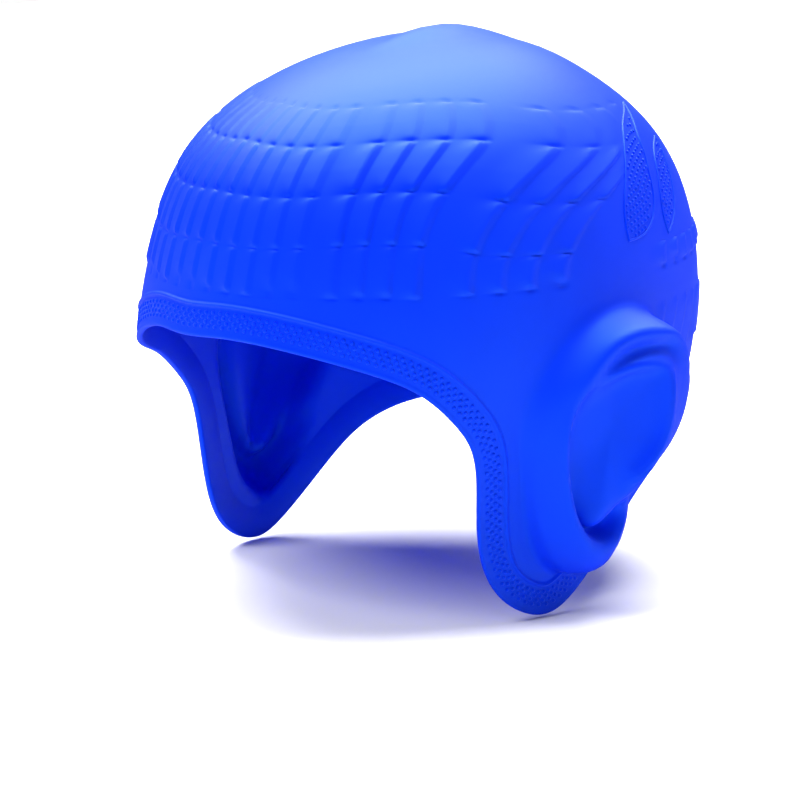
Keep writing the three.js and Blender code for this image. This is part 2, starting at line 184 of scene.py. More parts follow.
def spline(xs, ys):
    """A natural cubic spline through the points (xs, ys), for arrays."""
    xs = np.asarray(xs, float)
    ys = np.asarray(ys, float)
    count = len(xs)
    widths = np.diff(xs)
    matrix = np.eye(count)
    right = np.zeros(count)
    for i in range(1, count - 1):
        matrix[i, i - 1] = widths[i - 1]
        matrix[i, i] = 2 * (widths[i - 1] + widths[i])
        matrix[i, i + 1] = widths[i]
        rise_after = (ys[i + 1] - ys[i]) / widths[i]
        rise_before = (ys[i] - ys[i - 1]) / widths[i - 1]
        right[i] = 6 * (rise_after - rise_before)
    bends = np.linalg.solve(matrix, right)

    def curve(values):
        values = np.asarray(values, float)
        i = np.clip(np.searchsorted(xs, values) - 1, 0, count - 2)
        width = widths[i]
        after = (values - xs[i]) / width
        before = 1 - after
        bend = (before**3 - before) * bends[i] + (after**3 - after) * bends[i + 1]
        return before * ys[i] + after * ys[i + 1] + bend * width**2 / 6

    return curve


def ease(values):
    """A smooth step from 0 to 1."""
    share = np.clip(values, 0, 1)
    return share * share * (3 - 2 * share)


def section_curve(item, sign):
    """A spline over the sections, carried through the crown's top."""
    last = len(SECTIONS) - 1
    indices = list(range(-last, last + 1))
    values = [SECTIONS[abs(i)][item] * (sign if i < 0 else 1) for i in indices]
    return spline(indices, values)


depth_at = section_curve(0, 1)
half_width_at = section_curve(1, -1)
half_length_at = section_curve(2, -1)
middle_at = section_curve(3, 1)
LEVEL_SAMPLES = np.linspace(0, len(SECTIONS) - 1, 8001)
DEPTH_SAMPLES = depth_at(LEVEL_SAMPLES)


def level_of(depth):
    """The section level at a depth."""
    return np.interp(depth, DEPTH_SAMPLES, LEVEL_SAMPLES)


def rim_curve(item):
    """A spline over the rim's rows from the forehead past the nape."""
    columns = []
    values = []
    rows = (
        [(row, 0, -1) for row in reversed(RIM)]
        + [(row, 0, 1) for row in RIM[1:]]
        + [(row, 360, -1) for row in list(reversed(RIM))[1:4]]
    )
    for row, turn, sign in rows:
        columns.append(turn + sign * row[0])
        values.append(turn + sign * row[1] if item == 1 else row[item])
    return spline(columns, values)


azimuth_curve = rim_curve(1)
depth_curve = rim_curve(2)


def rim_azimuth(column):
    return np.sign(column) * azimuth_curve(np.abs(column))


def rim_depth(column):
    share = 1 - np.abs(column - RIGHT_TEMPLE["column"]) / RIGHT_TEMPLE["spread"]
    return depth_curve(np.abs(column)) + RIGHT_TEMPLE["drop"] * ease(share)


def skin(azimuth, level):
    """Points of the outer skin without ribs, bead or ear pockets."""
    turn = np.radians(azimuth)
    x = half_width_at(level) * np.sin(turn) * (1 - EGG * np.cos(turn))
    y = middle_at(level) - half_length_at(level) * np.cos(turn)
    z = WALL - depth_at(level)
    along = (y - HUMP["y"]) / HUMP["half_length"]
    across = x / HUMP["half_width"]
    z = z + HUMP["height"] * ease(1 - np.hypot(along, across))
    return np.stack(np.broadcast_arrays(x, y, z), axis=-1)


def skin_normal(azimuth, level):
    across = skin(azimuth + 0.5, level) - skin(azimuth - 0.5, level)
    down = skin(azimuth, level + 0.01) - skin(azimuth, level - 0.01)
    normal = np.cross(down, across)
    return normal / np.linalg.norm(normal, axis=-1, keepdims=True)


def degree_length(azimuth, depth):
    """Millimetres round the cap for one degree."""
    level = level_of(depth)
    return np.linalg.norm(skin(azimuth + 0.5, level) - skin(azimuth - 0.5, level), axis=-1)


def rim_inward(column):
    """The step from the rim up into the cap for one millimetre: degrees, depth, and scale."""
    scale = degree_length(rim_azimuth(column), rim_depth(column))
    along = (rim_azimuth(column + 0.5) - rim_azimuth(column - 0.5)) * scale
    fall = rim_depth(column + 0.5) - rim_depth(column - 0.5)
    length = np.hypot(along, fall)
    return fall / length / scale, -along / length, scale


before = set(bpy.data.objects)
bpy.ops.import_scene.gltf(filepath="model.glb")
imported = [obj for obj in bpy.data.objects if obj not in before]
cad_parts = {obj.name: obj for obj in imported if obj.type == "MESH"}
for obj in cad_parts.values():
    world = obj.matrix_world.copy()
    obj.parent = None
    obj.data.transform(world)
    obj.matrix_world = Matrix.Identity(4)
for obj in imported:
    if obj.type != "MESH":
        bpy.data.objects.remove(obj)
cad_low, cad_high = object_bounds()
random = np.random.default_rng(SEED)



def rib_columns():
    """Every rib as (column, group), from the nape round the right side to the nape."""
    ribs = [(column, "front") for column in FRONT_RIBS]
    ribs += [(column, "temple") for column in TEMPLE_RIBS]
    ribs += [(-column - TEMPLE_SHIFT, "temple") for column in TEMPLE_RIBS]
    for side in (1, -1):
        ribs += [(side * column, "side") for column in SIDE_RIBS]
        ribs += [(side * column, "rear") for column in REAR_RIBS if column < 178]
    return sorted(ribs)


RIBS = rib_columns()

# The columns of the grid: every rib lies on one. Gaps wider than WIDE_GAP degrees are divided
# by PLAIN_STEP instead, and the number of columns is a whole multiple of RING_MULTIPLE.
COLUMNS_PER_RIB = 8
WIDE_GAP = 8.0
PLAIN_STEP = 0.95
RING_MULTIPLE = 8

# A rib falls steeply on its sharp side and slowly on the other. Its sharp side faces lower
# columns up to FIRST_FRONT_RIB, and higher ones past it.
RIB_FALL = 0.75
RIB_SLOPE = 1.25
FIRST_FRONT_RIB = -37.0

# Along a rib, each row counts as RIB_ARC millimetres, and a rib rises over RISE_LENGTH of them
# at its crest and more beside it. Strengths are shares of RIB_HEIGHT. At the breaks between
# the rows lie dimples and grooves, with depths and lengths in millimetres.
RIB_ARC = 16.0
RIB_STRENGTHS = (0.75, 1.1)
LAST_ROW_ENDS = (0.74, 1)
SIDE_STRENGTH = 1.35
TOP_ROW_STRENGTH = 0.4
ROWS_BESIDE_GRIPS = 3
TOP_SHARE = 0.62
BOTTOM_RISE = 0.8
RISE_LENGTH = 0.9
RISE_SLANT = 5
DIMPLE = {"depth": 0.3, "length": 0.55, "sharpness": 3}
BREAK_GROOVE = {"depth": 0.1, "length": 1.1}

# The faint ribs behind each ear, below the girdle.
NAPE_RIB_DEPTHS = (80.5, 98.0)
NAPE_RIB_COLUMNS = (110, 150)
NAPE_RIB_HEIGHT = 0.6


def rib_height(distance, is_sharp_side):
    """Height of a rib, from 1 to 0, at a distance in degrees on its sharp or its slow side."""
    if is_sharp_side:
        return max(0.0, 1 - distance / RIB_FALL)
    return max(0.0, 1 - distance / RIB_PITCH) ** RIB_SLOPE


def grid_columns():
    """The grid's columns, and for each the rib it belongs to and that rib's height there."""
    columns = []
    owner = []
    profile = []
    stops = RIBS + [(RIBS[0][0] + 360, RIBS[0][1])]
    for i in range(len(RIBS)):
        start, end = stops[i][0], stops[i + 1][0]
        gap = end - start
        count = COLUMNS_PER_RIB
        if gap > WIDE_GAP:
            count = 2 * round(gap / PLAIN_STEP / 2)
        if i == len(RIBS) - 1:
            count += -(len(columns) + count) % RING_MULTIPLE
        for k in range(count):
            after = gap * k / count
            left = rib_height(after, start > FIRST_FRONT_RIB)
            right = rib_height(gap - after, end < FIRST_FRONT_RIB)
            columns.append(start + after)
            owner.append(i if left > right else (i + 1) % len(RIBS))
            profile.append(max(left, right))
    columns = np.array(columns)
    columns = np.where(columns > 180, columns - 360, columns)
    return columns, np.array(owner), np.array(profile)


COLUMNS, OWNER, PROFILE = grid_columns()

# How the ribs lean back on the crown in degrees, and how far their rows sink in millimetres,
# by column. Both grow from the crown's top to a full depth, and the sinking then fades out.
LEAN_FULL_DEPTH = 30
SINK_FULL_DEPTH = 20
SINK_FADE_DEPTH = 50
SINK_FADE_LENGTH = 20
LEAN = spline((0, 28, 42, 53, 70, 84, 100, 120, 150, 180), (0, 11, 36, 68, 130, 165, 165, 120, 40, 0))
SINK = spline((0, 24, 36, 48, 56, 64, 84, 100, 120, 180), (0, 0.2, -1.2, -1.6, -0.2, 2.8, 5.5, 7, 8, 8))


def crown_azimuth(column, depth):
    lean = np.sign(column) * LEAN(np.abs(column)) * np.clip(1 - depth / GIRDLE_DEPTH, 0, 1) ** 3
    return column + lean * ease(depth / LEAN_FULL_DEPTH)


def crown_depth(column, depth):
    fade = 1 - ease((depth - SINK_FADE_DEPTH) / SINK_FADE_LENGTH)
    share = ease(depth / SINK_FULL_DEPTH) * fade
    return depth + SINK(np.abs(column)) * share


# Rings of the grid in a rib row, in millimetres from its ends, and then towards its middle.
ROW_ENDS = (0, 0.45, 0.9, 1.4, 2.1, 3.2)
ROW_MIDDLES = (5.2, 7.8)


def rib_row_depths():
    """Depths of the grid's rings on the crown, closest at the ends of the ribs, and the
    number of the rib row and the share of it for each."""
    depths = []
    rows = []
    shares = []
    for row in range(len(RIB_BREAKS) - 1):
        top, bottom = RIB_BREAKS[row], RIB_BREAKS[row + 1]
        arc = bottom - top
        ends = [offset * arc / RIB_ARC for offset in ROW_ENDS + ROW_MIDDLES]
        steps = [top + offset for offset in ends]
        steps += [bottom - offset for offset in reversed(ends[1:])]
        for depth in steps:
            depths.append(depth)
            rows.append(row)
            shares.append((depth - top) / arc)
    return np.array(depths), np.array(rows), np.array(shares)


# Rings above the first rib row: depth, and the share of the columns used, as one in so many.
CROWN_TOP = (
    (0.12, 8), (0.5, 4), (1.1, 4), (1.9, 2), (2.8, 2), (3.8, 2), (4.9, 1), (6.1, 1),
    (7.4, 1), (8.8, 1), (10.2, 1), (11.7, 1), (13.2, 1), (14.6, 1), (15.5, 1),
)
SKIRT_ROWS = 84

# The band from the bead down to the lip: distance up from the rim, and offset out.
BAND_PROFILE = (
    (BAND_WIDTH + 1.45, 0.08), (BAND_WIDTH + 1.2, 0.38), (BAND_WIDTH + 0.95, 0.62),
    (BAND_WIDTH + 0.65, 0.66), (BAND_WIDTH + 0.35, 0.42), (BAND_WIDTH + 0.12, 0.02),
    (BAND_WIDTH - 0.15, -0.08), (BAND_WIDTH - 0.6, 0.0), (BAND_WIDTH - 2, 0.0),
    (BAND_WIDTH - 3.6, 0.0), (BAND_WIDTH - 5.2, 0.0), (2.6, 0.0), (1.9, 0.02), (1.4, 0.12),
    (0.9, 0.28), (0.45, 0.28), (0.12, 0.08), (-0.02, -0.35), (-0.02, -0.95),
    (0.12, -1.5), (0.45, -1.85), (0.9, -BAND_WALL),
)


def skirt_grid(columns):
    """Azimuths and depths of the skirt, from below the girdle to the top of the bead."""
    turn_step, depth_step, scale = rim_inward(columns)
    reach = BAND_WIDTH + BEAD_WIDTH
    end_azimuth = rim_azimuth(columns) + turn_step * reach
    end_depth = rim_depth(columns) + depth_step * reach
    span = np.hypot((end_azimuth - columns) * scale, end_depth - GIRDLE_DEPTH)
    share = (np.arange(1, SKIRT_ROWS + 1) / SKIRT_ROWS)[:, None]
    to_end = ease(share)
    leave = share * (1 - share) ** 2 * span
    arrive = share**2 * (1 - share) * np.minimum(span, ARRIVAL)
    azimuth = columns + (end_azimuth - columns) * to_end + arrive * turn_step
    depth = GIRDLE_DEPTH + (end_depth - GIRDLE_DEPTH) * to_end + leave + arrive * depth_step
    return azimuth, depth


def station_curve(pick):
    """A closed curve through one value of every ear station."""
    count = len(EAR_STATIONS)
    indices = list(range(-count, 2 * count + 1))
    return spline(indices, [pick(EAR_STATIONS[i % count]) for i in indices])


def skin_width(y, depth):
    """How far the outer skin lies from the cap's middle plane at y and depth."""
    level = level_of(depth)
    cosine = (middle_at(level) - y) / half_length_at(level)
    return half_width_at(level) * (1 - EGG * cosine) * np.sqrt(np.maximum(0, 1 - cosine**2))


def ear_table(samples):
    """Sections of the pocket as an array: station, point of the section, (y, depth, x)."""
    stations = np.linspace(0, len(EAR_STATIONS), samples, endpoint=False)
    foot = [station_curve(lambda row, k=k: row[0][k])(stations) for k in range(2)]
    points = [np.stack(foot + [skin_width(*foot)], axis=-1)]
    for item in range(1, len(EAR_STATIONS[0])):
        values = [station_curve(lambda row, i=item, k=k: row[i][k])(stations) for k in range(3)]
        points.append(np.stack(values, axis=-1))
    points.append(np.broadcast_to(np.array(EAR_MIDDLE, float), points[0].shape))
    return np.stack(points, axis=1)


# The pocket's surface is sampled by stations round it and steps along each section. A guide
# point beyond the foot, by OUTSIDE_SHARE of its reach, sets how each section leaves the skin.
# Points nearer the middle plane than EAR_LEAST_X are on no ear.
EAR_SAMPLES = 720
SECTION_SAMPLES = 200
STEPS_PER_POINT = 24
OUTSIDE_SHARE = 0.2
EAR_LEAST_X = 40

# Smoothing: most of it lies about the foot, by share of the way out from the pocket's middle.
FOOT_SHARE = 0.97
FOOT_SPREAD = 0.13
INSIDE_WEIGHT = 0.04
SMOOTHING_RATE = 0.6
FOOT_PASSES = 10
INNER_ROUNDS = 3
INNER_PASSES = 4


def dense_sections():
    """Every section as a smooth curve, evenly spaced along its own length."""
    sections = ear_table(EAR_SAMPLES)
    foot, dish, middle = sections[:, 0], sections[:, -2], sections[:, -1]
    outside = foot + (foot - middle) * OUTSIDE_SHARE
    outside[:, 2] = skin_width(outside[:, 0], outside[:, 1])
    inside = middle + (middle - dish)
    points = np.concatenate([outside[:, None], sections, inside[:, None]], axis=1)
    fine = []
    for i in range(1, points.shape[1] - 2):
        before, start, end, after = (points[:, i + k] for k in (-1, 0, 1, 2))
        for step in np.linspace(0, 1, STEPS_PER_POINT, endpoint=False):
            fine.append(
                0.5
                * (
                    2 * start
                    + (end - before) * step
                    + (2 * before - 5 * start + 4 * end - after) * step**2
                    + (3 * start - before - 3 * end + after) * step**3
                )
            )
    fine.append(middle)
    fine = np.stack(fine, axis=1)
    steps = np.linalg.norm(np.diff(fine, axis=1), axis=-1)
    length = np.concatenate([np.zeros((len(fine), 1)), np.cumsum(steps, axis=1)], axis=1)
    even = np.empty((len(fine), SECTION_SAMPLES + 1, 3))
    for i in range(len(fine)):
        wanted = np.linspace(0, length[i, -1], SECTION_SAMPLES + 1)
        for k in range(3):
            even[i, :, k] = np.interp(wanted, length[i], fine[i, :, k])
    return even


EAR_SECTIONS = dense_sections()


def lift_ear(points):
    """The points with those inside the pocket's foot moved onto the pocket, and for each point
    how strongly it is to be smoothed."""
    side = np.sign(points[..., 0])
    spot = np.stack([points[..., 1] - EAR_MIDDLE[0], WALL - points[..., 2] - EAR_MIDDLE[1]], -1)
    reach = np.hypot(spot[..., 0], spot[..., 1])
    angle = np.arctan2(spot[..., 0], -spot[..., 1])
    foot = EAR_SECTIONS[:, 0, :2] - np.array(EAR_MIDDLE[:2])
    foot_angle = np.unwrap(np.arctan2(foot[:, 0], -foot[:, 1]))
    foot_reach = np.hypot(foot[:, 0], foot[:, 1])
    numbers = np.arange(EAR_SAMPLES)
    turns = np.concatenate([foot_angle - 2 * math.pi, foot_angle, foot_angle + 2 * math.pi])
    around = np.concatenate([numbers - EAR_SAMPLES, numbers, numbers + EAR_SAMPLES])
    stations = np.interp(angle, turns, around)
    closed_numbers = np.append(numbers, EAR_SAMPLES)
    closed_reach = np.append(foot_reach, foot_reach[0])
    limit = np.interp(stations % EAR_SAMPLES, closed_numbers, closed_reach)
    share = reach / limit
    beside_ear = np.abs(points[..., 0]) > EAR_LEAST_X
    inside = (share < 1) & beside_ear
    low = np.floor(stations[inside]).astype(int)
    part = (stations[inside] - low)[:, None]
    along = (1 - share[inside]) * SECTION_SAMPLES
    step = np.minimum(np.floor(along).astype(int), SECTION_SAMPLES - 1)
    rest = (along - step)[:, None]

    def section_spot(station):
        rows = EAR_SECTIONS[station % EAR_SAMPLES]
        picked = np.arange(len(station))
        return rows[picked, step] * (1 - rest) + rows[picked, step + 1] * rest

    spots = section_spot(low) * (1 - part) + section_spot(low + 1) * part
    lifted = np.stack([spots[:, 2] * side[inside], spots[:, 0], WALL - spots[:, 1]], axis=-1)
    moved = points.copy()
    moved[inside] = lifted
    marks = np.arange(len(EAR_STATIONS) + 1) * EAR_SAMPLES / len(EAR_STATIONS)
    softness = np.interp(stations % EAR_SAMPLES, marks, FOOT_SOFTNESS + FOOT_SOFTNESS[:1])
    near_foot = np.exp(-(((share - FOOT_SHARE) / FOOT_SPREAD) ** 2)) * softness
    weight = np.where(beside_ear, near_foot + INSIDE_WEIGHT * (share < 1), 0)
    return moved, weight


def soften(points, weight, passes):
    """Evens out a grid of points where weight is above 0; its columns close on themselves."""
    for _ in range(passes):
        across = (np.roll(points, 1, axis=1) + np.roll(points, -1, axis=1)) / 2
        down = points.copy()
        down[1:-1] = (points[:-2] + points[2:]) / 2
        target = (across + down) / 2
        target[0] = points[0]
        target[-1] = points[-1]
        points = points + (target - points) * weight[..., None] * SMOOTHING_RATE
    return points


def grid_normals(points):
    """Outward normals of a grid whose rows run down and whose columns close."""
    across = np.roll(points, -1, axis=1) - np.roll(points, 1, axis=1)
    down = np.gradient(points, axis=0)
    normal = np.cross(down, across)
    return normal / np.maximum(np.linalg.norm(normal, axis=-1, keepdims=True), 1e-12)


# Grip patches: almonds of dots with a thin raised border, each by its centre line on the
# skin (azimuth, depth) and its half width there in millimetres.
GRIP_PATCHES = (
    (
        (134, 22, 0), (121.5, 27.5, 2.4), (116, 33, 4.6), (112.3, 39, 6),
        (108.8, 47, 7.4), (104.5, 54, 5.6), (101.5, 59, 0),
    ),
    ((134, 33, 0), (127, 39, 4), (122.5, 46, 5), (118.5, 54, 4), (116.5, 60, 0)),
)
GRIP_CLEARANCE = 1.0
GRIP_FADE = 3.0
GRIP_LINE_SAMPLES = 41


def patch_curve(patch, item):
    """A spline through one column of a patch's rows, by share of the rows."""
    return spline(np.linspace(0, 1, len(patch)), [row[item] for row in patch])


def patch_half_width(patch, share):
    return np.maximum(0, patch_curve(patch, 2)(share))


def clear_of_grips(azimuth, depth):
    """1 away from the grip patches, falling to 0 on them."""
    clear = np.ones(len(azimuth))
    scale = degree_length(azimuth, depth)
    share = np.linspace(0, 1, GRIP_LINE_SAMPLES)
    for patch in GRIP_PATCHES:
        middles = patch_curve(patch, 0)(share)
        depths = patch_curve(patch, 1)(share)
        along = (np.abs(azimuth)[:, None] - middles) * scale[:, None]
        away = np.hypot(along, depth[:, None] - depths) - patch_half_width(patch, share)
        clear = np.minimum(clear, ease((away.min(axis=1) - GRIP_CLEARANCE) / GRIP_FADE))
    return clear


def rise_lengths():
    """How long a rib takes to rise at its ends, by column: least along its crest."""
    return RISE_LENGTH + RISE_SLANT * (1 - PROFILE)


def rib_relief(rows, shares):
    """Heights of the ribs on the crown's rings, by ring and column."""
    strength = random.uniform(*RIB_STRENGTHS, (len(RIBS), len(RIB_BREAKS)))
    ends = np.ones(strength.shape)
    ends[:, len(RIB_BREAKS) - 2] = random.uniform(*LAST_ROW_ENDS, len(RIBS))
    for i, (column, group) in enumerate(RIBS):
        if group == "rear" and abs(column) < GRIP_END:
            strength[i, :ROWS_BESIDE_GRIPS] = 0
        if group != "front":
            strength[i] *= SIDE_STRENGTH
        strength[i, 0] *= TOP_ROW_STRENGTH
    relief = np.zeros((len(rows), len(COLUMNS)))
    for ring, row in enumerate(rows):
        own = strength[OWNER, row]
        from_top = shares[ring] * RIB_ARC
        from_bottom = np.maximum(0, ends[OWNER, row] - shares[ring]) * RIB_ARC
        nearest = np.minimum(from_top, from_bottom)
        rise = np.minimum(1, np.minimum(from_top, from_bottom * BOTTOM_RISE) / rise_lengths())
        body = TOP_SHARE + (1 - TOP_SHARE) * shares[ring]
        relief[ring] = RIB_HEIGHT * own * body * rise * PROFILE
        near = np.clip(1 - (1 - PROFILE) * DIMPLE["sharpness"], 0, 1) * (own > 0)
        relief[ring] -= DIMPLE["depth"] * np.exp(-((nearest / DIMPLE["length"]) ** 2)) * near
        groove = np.exp(-((nearest / BREAK_GROOVE["length"]) ** 2)) * PROFILE * (own > 0)
        relief[ring] -= BREAK_GROOVE["depth"] * groove
    return relief


def nape_rib_relief(depths):
    """Heights of the ribs behind the ears, below the girdle, by ring and column."""
    top, bottom = NAPE_RIB_DEPTHS
    behind_ear = (np.abs(COLUMNS) > NAPE_RIB_COLUMNS[0]) & (np.abs(COLUMNS) < NAPE_RIB_COLUMNS[1])
    from_end = np.minimum(depths - top, bottom - depths)
    rise = np.clip(from_end / rise_lengths(), 0, 1)
    return NAPE_RIB_HEIGHT * rise * PROFILE * behind_ear


def build_outer():
    """The outer side as a list of rings of points, in millimetres, from the top down."""
    depths, rows, shares = rib_row_depths()
    relief = rib_relief(rows, shares)
    rings = []
    for depth, divide in CROWN_TOP:
        chosen = COLUMNS[::divide]
        at = crown_depth(chosen, depth)
        azimuth = crown_azimuth(chosen, depth)
        rings.append(skin(azimuth, level_of(at)))
    for ring, depth in enumerate(depths):
        at = crown_depth(COLUMNS, depth)
        azimuth = crown_azimuth(COLUMNS, depth)
        level = level_of(at)
        height = relief[ring] * clear_of_grips(azimuth, at)
        rings.append(skin(azimuth, level) + skin_normal(azimuth, level) * height[:, None])
    azimuth, depth = skirt_grid(COLUMNS)
    girdle = skin(COLUMNS, level_of(np.full(len(COLUMNS), GIRDLE_DEPTH)))
    skirt = skin(azimuth, level_of(depth))
    skirt = np.concatenate([girdle[None], skirt])
    lifted, weight = lift_ear(skirt)
    lifted = soften(lifted, weight, FOOT_PASSES)
    nape_relief = nape_rib_relief(np.concatenate([np.full((1, len(COLUMNS)), GIRDLE_DEPTH), depth]))
    rings += list(lifted + grid_normals(lifted) * nape_relief[..., None])
    turn_step, depth_step, _ = rim_inward(COLUMNS)
    for up, offset in BAND_PROFILE:
        azimuth = rim_azimuth(COLUMNS) + turn_step * up
        depth = rim_depth(COLUMNS) + depth_step * up
        level = level_of(depth)
        rings.append(skin(azimuth, level) + skin_normal(azimuth, level) * offset)
    return rings


# The plain inner side: rings up from the rim (distance, offset), and rings of the crown
# (depth, and the share of the columns used, as one in so many).
INNER_BAND = ((1.6, -BAND_WALL), (BAND_WIDTH, -BAND_WALL), (BAND_WIDTH + 1, -WALL))
INNER_CROWN = (
    (62, 2), (54, 2), (46, 2), (38, 2), (30, 2), (22, 2), (15, 2), (9, 4), (4.5, 4), (1.6, 8),
)


def build_inner(lifted):
    """The inner side as rings from the lip up to the top, with half of the columns."""
    chosen = COLUMNS[::2]
    rings = []
    turn_step, depth_step, _ = rim_inward(chosen)
    for up, offset in INNER_BAND:
        azimuth = rim_azimuth(chosen) + turn_step * up
        depth = rim_depth(chosen) + depth_step * up
        level = level_of(depth)
        rings.append(skin(azimuth, level) + skin_normal(azimuth, level) * offset)
    outward = grid_normals(lifted)
    inside = lifted - outward * WALL
    for _ in range(INNER_ROUNDS):
        inside = soften(inside, np.ones(inside.shape[:2]), INNER_PASSES)
        cover = np.sum((lifted - inside) * outward, axis=-1)
        inside -= outward * np.maximum(0, LEAST_WALL - cover)[..., None]
    rings += [inside[i, ::2] for i in range(len(inside) - 1, -1, -2)]
    for depth, divide in INNER_CROWN:
        columns = COLUMNS[::divide]
        azimuth = crown_azimuth(columns, depth)
        level = level_of(np.full(len(columns), float(depth)))
        rings.append(skin(azimuth, level) - skin_normal(azimuth, level) * WALL)
    return rings


class Shell:
    """A closed mesh in the making."""

    def __init__(self):
        self.points = []
        self.faces = []

    def add_ring(self, ring):
        start = len(self.points)
        self.points.extend(map(tuple, ring))
        return list(range(start, start + len(ring)))

    def join(self, upper, lower):
        """Joins two closed rings; one may have a whole multiple of the other's points."""
        if len(lower) >= len(upper):
            ratio = len(lower) // len(upper)
            for i in range(len(upper)):
                after = (i + 1) % len(upper)
                if ratio == 1:
                    self.faces.append((upper[i], lower[i], lower[after], upper[after]))
                    continue
                half = ratio // 2
                for k in range(ratio):
                    first = lower[i * ratio + k]
                    second = lower[(i * ratio + k + 1) % len(lower)]
                    self.faces.append((upper[i if k < half else after], first, second))
                self.faces.append((upper[i], lower[i * ratio + half], upper[after]))
        else:
            ratio = len(upper) // len(lower)
            for i in range(len(lower)):
                after = (i + 1) % len(lower)
                half = ratio // 2
                for k in range(ratio):
                    first = upper[i * ratio + k]
                    second = upper[(i * ratio + k + 1) % len(upper)]
                    self.faces.append((lower[i if k < half else after], second, first))
                self.faces.append((lower[i], lower[after], upper[i * ratio + half]))

    def close(self, ring, point, last):
        middle = len(self.points)
        self.points.append(tuple(point))
        for i in range(len(ring)):
            after = (i + 1) % len(ring)
            self.faces.append((middle, ring[after], ring[i]) if last else (middle, ring[i], ring[after]))


def object_from(name, points, faces, material):
    """A smooth-shaded mesh object from points in millimetres."""
    mesh = bpy.data.meshes.new(name)
    mesh.from_pydata((np.asarray(points) * MM).tolist(), [], faces)
    mesh.update()
    mesh.polygons.foreach_set("use_smooth", [True] * len(mesh.polygons))
    mesh.materials.append(material)
    obj = bpy.data.objects.new(name, mesh)
    bpy.context.scene.collection.objects.link(obj)
    return obj


def new_material(name):
    material = bpy.data.materials.new(name)
    material.use_nodes = True
    nodes = material.node_tree.nodes
    return material, nodes, material.node_tree.links, nodes["Principled BSDF"]


DEEP_BLUE = (0.0002, 0.018, 0.72, 1)
CLEAR_BLUE = (0.0003, 0.024, 0.8, 1)
SHEEN_TINT = (0.14, 0.95, 1, 1)


def silicone():
    """Satin blue silicone rubber: slight cloudiness in colour, fine matt grain."""
    material, nodes, links, shader = new_material("blue_silicone")
    place = nodes.new("ShaderNodeTexCoord")
    cloud = nodes.new("ShaderNodeTexNoise")
    cloud.inputs["Scale"].default_value = 18
    cloud.inputs["Detail"].default_value = 3
    links.new(place.outputs["Object"], cloud.inputs["Vector"])
    colour = nodes.new("ShaderNodeValToRGB")
    colour.color_ramp.elements[0].position = 0.3
    colour.color_ramp.elements[0].color = DEEP_BLUE
    colour.color_ramp.elements[1].position = 0.7
    colour.color_ramp.elements[1].color = CLEAR_BLUE
    links.new(cloud.outputs["Fac"], colour.inputs["Fac"])
    links.new(colour.outputs["Color"], shader.inputs["Base Color"])
    grain = nodes.new("ShaderNodeTexNoise")
    grain.inputs["Scale"].default_value = 900
    grain.inputs["Detail"].default_value = 4
    links.new(place.outputs["Object"], grain.inputs["Vector"])
    gloss = nodes.new("ShaderNodeMapRange")
    gloss.inputs["To Min"].default_value = 0.52
    gloss.inputs["To Max"].default_value = 0.6
    links.new(cloud.outputs["Fac"], gloss.inputs["Value"])
    links.new(gloss.outputs["Result"], shader.inputs["Roughness"])
    bump = nodes.new("ShaderNodeBump")
    bump.inputs["Strength"].default_value = 0.06
    bump.inputs["Distance"].default_value = 0.0002
    links.new(grain.outputs["Fac"], bump.inputs["Height"])
    links.new(bump.outputs["Normal"], shader.inputs["Normal"])
    shader.inputs["Specular IOR Level"].default_value = 0.36
    shader.inputs["Specular Tint"].default_value = SHEEN_TINT
    return material


BLUE = silicone()


def build_shell():
    """The whole cap as one closed mesh."""
    shell = Shell()
    outer = [shell.add_ring(ring) for ring in build_outer()]
    shell.close(outer[0], skin(0.0, 0.0), last=False)
    for upper, lower in zip(outer, outer[1:]):
        shell.join(upper, lower)
    girdle_ring = len(outer) - len(BAND_PROFILE) - SKIRT_ROWS - 1
    lifted = np.array([[shell.points[i] for i in ring] for ring in outer[girdle_ring:-len(BAND_PROFILE)]])
    inner = [shell.add_ring(ring) for ring in build_inner(lifted)]
    shell.join(outer[-1], inner[0])
    for upper, lower in zip(inner, inner[1:]):
        shell.join(upper, lower)
    shell.close(inner[-1], skin(0.0, 0.0) - np.array([0, 0, WALL]), last=True)
    return object_from("cap_skin", shell.points, shell.faces, BLUE)


cap = build_shell()


# Dots: small flat domes laid on the skin.
DOT_TURNS = 8
DOT_RINGS = ((0.0, 1.0), (0.5, 0.86), (0.82, 0.5), (1.0, -0.25))


def dot_shape():
    """A unit dome: points and faces, with its top at z 1."""
    points = [(0, 0, 1)]
    faces = []
    for radius, height in DOT_RINGS[1:]:
        for turn in range(DOT_TURNS):
            angle = 2 * math.pi * turn / DOT_TURNS
            points.append((radius * math.cos(angle), radius * math.sin(angle), height))
    for turn in range(DOT_TURNS):
        after = (turn + 1) % DOT_TURNS
        faces.append((0, 1 + turn, 1 + after))
        for ring in range(len(DOT_RINGS) - 2):
            start = 1 + ring * DOT_TURNS
            faces.append((start + turn, start + DOT_TURNS + turn, start + DOT_TURNS + after, start + after))
    start = 1 + (len(DOT_RINGS) - 2) * DOT_TURNS
    faces.append(tuple(start + turn for turn in reversed(range(DOT_TURNS))))
    return np.array(points, float), faces


def lay_dots(name, centres, normals, along, length, width, height):
    """One mesh of many dots, each with its longer side along the given direction."""
    shape, faces = dot_shape()
    across = np.cross(normals, along)
    across /= np.linalg.norm(across, axis=-1, keepdims=True)
    along = np.cross(across, normals)
    points = (
        centres[:, None]
        + along[:, None] * (shape[:, 0] * length / 2)[None, :, None]
        + across[:, None] * (shape[:, 1] * width / 2)[None, :, None]
        + normals[:, None] * (shape[:, 2] * height)[None, :, None]
    )
    all_faces = []
    for i in range(len(centres)):
        start = i * len(shape)
        all_faces += [tuple(start + corner for corner in face) for face in faces]
    return object_from(name, points.reshape(-1, 3), all_faces, BLUE)


